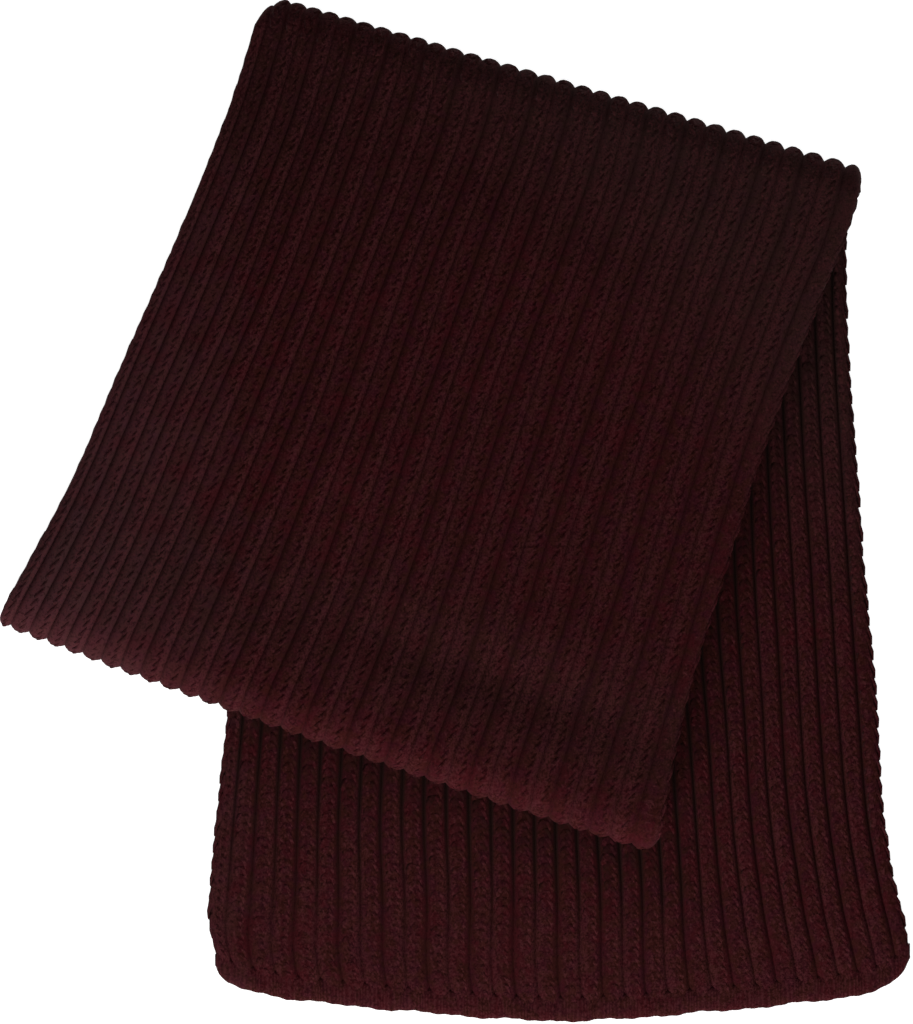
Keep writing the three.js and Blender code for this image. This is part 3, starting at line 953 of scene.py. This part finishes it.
def lower_end():
    def place(rib, across, up, depth):
        share = lerp(HEM_VALLEY, LOWER_VALLEY, smoothstep(up, 0.01, 0.16))
        lowered = shallower(depth, share) + LOWER_BELOW * (depth < CLOTH_DEPTH)
        return lower_at(across, up, lowered)

    rows = even_places(WALL_FOOT, 1, 1 / LOWER_ROWS)
    # painted shade between the ribs, least at the hem and most towards the bundle
    shades = 0.2 + 0.4 * smoothstep(rows, 0.04, 0.2)
    wall = cloth_wall("lower_cloth", rows, place, shades, painted_contact_shadow)
    cloth = add_piece(wall, YARN, "ribbed_knit", "lower_end")
    chance = np.random.default_rng(12)
    ribs = np.arange(1, RIBS - 1)
    ends = LOWER_LENGTHS[:, -1]
    at, runs = stitch_places(ribs, FIRST_STITCH, ends[ribs], LOWER_ROW)
    middle = lower_point(at, RIB_MIDDLES[at], runs, np.zeros(len(at)))
    below, beside = beyond_bundle(middle[:, 0], middle[:, 1])
    shown = np.maximum(below, beside) > -SHOWN_UNDER
    at, runs = at[shown], runs[shown]
    # painted contact shadow on the stitches near the bundle
    shade = painted_contact_shadow(middle[shown, 0], middle[shown, 1])
    mesh = knit("lower_stitches", lower_point, at, runs, leg_pair(-1), LOWER_ROW, chance, shade=shade)
    pieces = [add_piece(mesh, YARN, "ribbed_knit")]
    stretch = (FIRST_LOOP, ends, LOWER_ROW, -1)
    pieces.append(selvedges("lower_selvedges", lower_point, stretch, LOWER_BULGES, LOWER_OUTSETS, chance))
    pieces.append(hem())


HEM_CORNERS = 14
HEM_STEPS = 4  # for each stitch of the hem
HEM_ROUNDING = 2.6  # how far from its ends the hem starts to taper
HEM_TONE = 0.5


def closed_strip(name, columns):
    """A closed strip in a new mesh. Its corners have the place along it (from -0.5 to 0.5) as x, and the
    cosine and sine of the turn round its section as y and z."""
    shape = bmesh.new()
    bmesh.ops.create_grid(shape, x_segments=columns, y_segments=HEM_CORNERS, size=0.5)
    for vertex in shape.verts:
        turn = (vertex.co.y + 0.5) * tau
        vertex.co.y, vertex.co.z = cos(turn), sin(turn)
    bmesh.ops.remove_doubles(shape, verts=shape.verts, dist=0.0001)
    bmesh.ops.holes_fill(shape, edges=shape.edges, sides=HEM_CORNERS)
    bmesh.ops.recalc_face_normals(shape, faces=shape.faces)
    mesh = bpy.data.meshes.new(name)
    shape.to_mesh(mesh)
    shape.free()
    return mesh


def hem():
    """The narrow hem band: a rounded strip with a fine ridge for each of its stitches."""
    mesh = closed_strip("hem", HEM_STITCHES * HEM_STEPS)
    corner = points_of(mesh)
    across, section = corner[:, 0] + 0.5, corner[:, 1]
    from_end = np.minimum(across, 1 - across) * HEM_LENGTH
    plump = np.sqrt(1 - (1 - np.clip(from_end / HEM_ROUNDING, 0.12, 1)) ** 2)
    stitch = across * HEM_STITCHES + 0.35 * np.sin(across * 210) + 0.3 * np.sin(across * 83)
    ridge = np.cos(stitch * tau) * plump * (0.7 + 0.5 * np.sin(across * 131))
    inward = np.sign(section) * np.abs(section) ** 0.8 * plump
    round_off = np.where(section > 0, 0.35, 0.8)
    upward = np.sign(corner[:, 2]) * np.abs(corner[:, 2]) ** round_off * plump * (1 + 0.08 * ridge)
    x, y = lower_plan(across, np.zeros(len(across)))
    x = x + HEM_OVERHANG * (2 * across - 1)
    waves = 0.3 * np.sin(across * 47) + 0.3 * np.sin(across * 91 + 1) + 0.16 * np.sin(across * 290)
    waves = waves + 0.06 * ridge
    half = (HEM_DEPTH + SEAM_GAP + HEM_LAP) / 2
    y = y + HEM_LAP - half * (1 - inward) + waves * (1 - section) / 2
    z = HEM_HEIGHT / 2 * (1 + upward)
    mesh.vertices.foreach_set("co", (np.stack([x, y, z], axis=-1) * MM).ravel())
    uvs = np.stack([stitch + 0.25, section], axis=-1)
    add_yarn_data(mesh, uvs, np.full(len(x), HEM_TONE))
    mesh.update()
    return add_piece(mesh, HEM_YARN, "hem_knit", "hem_band")


LAYER_COLUMNS = 40
LAYER_ROWS = 46
LAYER_WALL_INSET = 2.4  # how far a layer's slab stays inside its chains
LAYER_GAP = 0.06  # left free above and below each layer, as a share of its height
LAYER_END_GAP = 3  # how far the slabs stay inside the panel's cloth at the folds
LAYER_MAP = 8  # how far the yarn's UV map goes down a slab and across it
CHAIN_INSET = 5  # how far past the folds' reach the chains start and end
CHAIN_SIDE = 0.6  # how far inside a layer's edge its chains lie
CHAIN_BULGE, CHAIN_OUTSET = 0.7, 0.5


def folded_layers():
    """The layers inside the bundle, each a plain slab with a chain of loops along both selvedges."""
    chance = np.random.default_rng(13)
    slabs, chains = [], []
    for layer in range(LAYERS):
        mesh, corner = slab(f"layer_{layer}", LAYER_COLUMNS, LAYER_ROWS)
        column, row, top = corner.T
        height = np.where(top == 1, 1 - LAYER_GAP, LAYER_GAP)
        inset = (LAYER_INSET + LAYER_WALL_INSET) / PANEL_WIDTH
        across = inset + (1 - 2 * inset) * column / LAYER_COLUMNS
        clear = (CLOTH_DEPTH + LAYER_END_GAP) / BUNDLE_LENGTH
        down = clear + (1 - 2 * clear) * row / LAYER_ROWS
        points = layer_at(layer, across, down, height)
        mesh.vertices.foreach_set("co", (points * MM).ravel())
        add_yarn_data(mesh, np.stack([down, across], axis=-1) * LAYER_MAP, np.full(len(points), WALL_TONE))
        mesh.update()
        slabs.append(mesh)
        chains += layer_chains(layer, chance)
    cloth = add_piece(merged("folded_layers", slabs), YARN, "ribbed_knit", "hidden_layers")
    edges = add_piece(merged("layer_selvedges", chains), YARN, "ribbed_knit")


def layer_chains(layer, chance):
    """The chains of a layer's two selvedges. The layers' edges don't lie quite over each other."""

    def place(rib, across, run, depth):
        stray = 1.1 * np.sin(run / 37 + layer * 2.1) + 0.5 * np.sin(run / 13 + layer)
        side = np.where(across < 0.5, 1, -1)
        shift = (LAYER_INSET + CHAIN_SIDE + stray) / PANEL_WIDTH * side
        length = panel_length(across)
        inset = FOLD_REACH + run
        return layer_at(layer, across + shift, 1 - inset / length, 1 - depth / CLOTH_DEPTH)

    name = f"layer_{layer}"
    row_turn = 1 if layer % 2 else -1
    ends = panel_flat(panel_length(RIB_MIDDLES)) - CHAIN_INSET
    meshes = []
    for rib in (0, RIBS - 1):
        stretch = (CHAIN_INSET, ends[rib], PANEL_ROW, row_turn)
        meshes += selvedge(name, place, rib, *stretch, CHAIN_BULGE, CHAIN_OUTSET, chance)
    return meshes


# The floor, the light and the camera
FLOOR_SIZE = 4
FLOOR_DROP = 0.0003
WORLD_LIGHT = 0.35


def floor():
    shape = bmesh.new()
    bmesh.ops.create_grid(shape, x_segments=1, y_segments=1, size=FLOOR_SIZE)
    bmesh.ops.translate(shape, verts=shape.verts, vec=(0, 0, -FLOOR_DROP))
    mesh = bpy.data.meshes.new("floor")
    shape.to_mesh(mesh)
    shape.free()
    mesh.materials.append(floor_finish())
    plane = bpy.data.objects.new("floor", mesh)
    bpy.context.collection.objects.link(plane)


def aim(thing, place, target):
    """Puts a lamp or a camera at a place, turned towards a target."""
    thing.location = place
    thing.rotation_euler = (Vector(target) - Vector(place)).to_track_quat("-Z", "Y").to_euler()


def softbox(name, place, size, power):
    lamp = bpy.data.lights.new(name, "AREA")
    lamp.shape = "DISK"
    lamp.size = size
    lamp.energy = power
    thing = bpy.data.objects.new(name, lamp)
    bpy.context.collection.objects.link(thing)
    aim(thing, place, (0, 0, 0))


def light():
    world = bpy.data.worlds.new("studio")
    bpy.context.scene.world = world
    world.use_nodes = True
    background = world.node_tree.nodes["Background"]
    background.inputs["Color"].default_value = WHITE
    background.inputs["Strength"].default_value = WORLD_LIGHT
    softbox("front_softbox", place=(-0.12, -0.98, 0.5), size=0.8, power=14.5)
    bpy.context.scene.view_settings.view_transform = "Standard"


PHOTO_HEIGHT = 1024
PIXEL = 0.4317 * MM
CAMERA_DISTANCE = 3.0
CAMERA_ELEVATION = radians(86)
CAMERA_TARGET = (-0.0004, -0.0013, 0.012)
SENSOR = 36


def camera():
    view = bpy.data.cameras.new("camera")
    view.sensor_width = SENSOR
    view.lens = SENSOR * CAMERA_DISTANCE / (PHOTO_HEIGHT * PIXEL)
    thing = bpy.data.objects.new("camera", view)
    bpy.context.collection.objects.link(thing)
    target = Vector(CAMERA_TARGET)
    away = Vector((0, -cos(CAMERA_ELEVATION), sin(CAMERA_ELEVATION)))
    aim(thing, target + away * CAMERA_DISTANCE, target)
    bpy.context.scene.camera = thing


top_panel()
lower_end()
folded_layers()
floor()
light()
camera()
